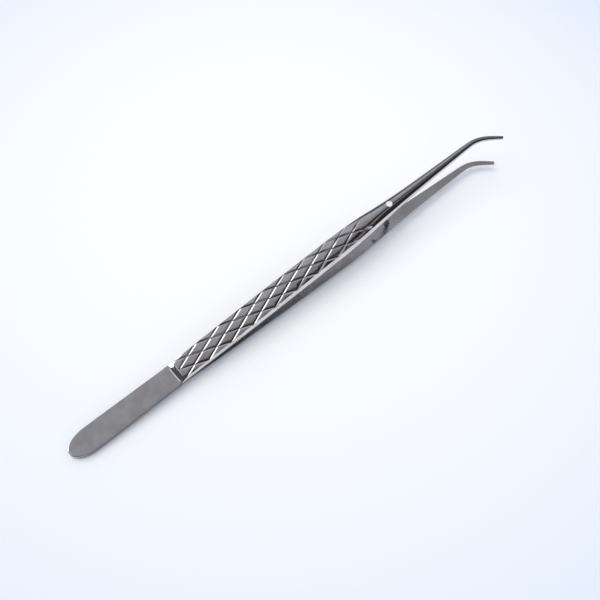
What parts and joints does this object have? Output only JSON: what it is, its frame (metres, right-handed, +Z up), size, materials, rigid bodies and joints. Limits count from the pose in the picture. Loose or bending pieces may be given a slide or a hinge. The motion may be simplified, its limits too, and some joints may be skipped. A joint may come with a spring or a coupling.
{
  "type": "thumb forceps",
  "caption": "Curved steel thumb forceps with a diamond-cut grip, a guide pin and fine tips bent sideways.",
  "frame": {"origin": "middle of the resting outline seen from above, on the table under the forceps", "axes": "+X from the rear plate towards the tips, +Y across the arms, away from the side that the tips bend to, +Z up; the forceps lies on the back of its lower arm"},
  "size_m": [0.1504, 0.009, 0.0149],
  "materials": {
    "satin_steel": "satin, ground lengthwise",
    "pin_steel": "polished"
  },
  "bodies": {
    "root": {"upper_arm": "satin_steel", "lower_arm": "satin_steel", "guide_pin": "pin_steel"}
  },
  "joints": []
}
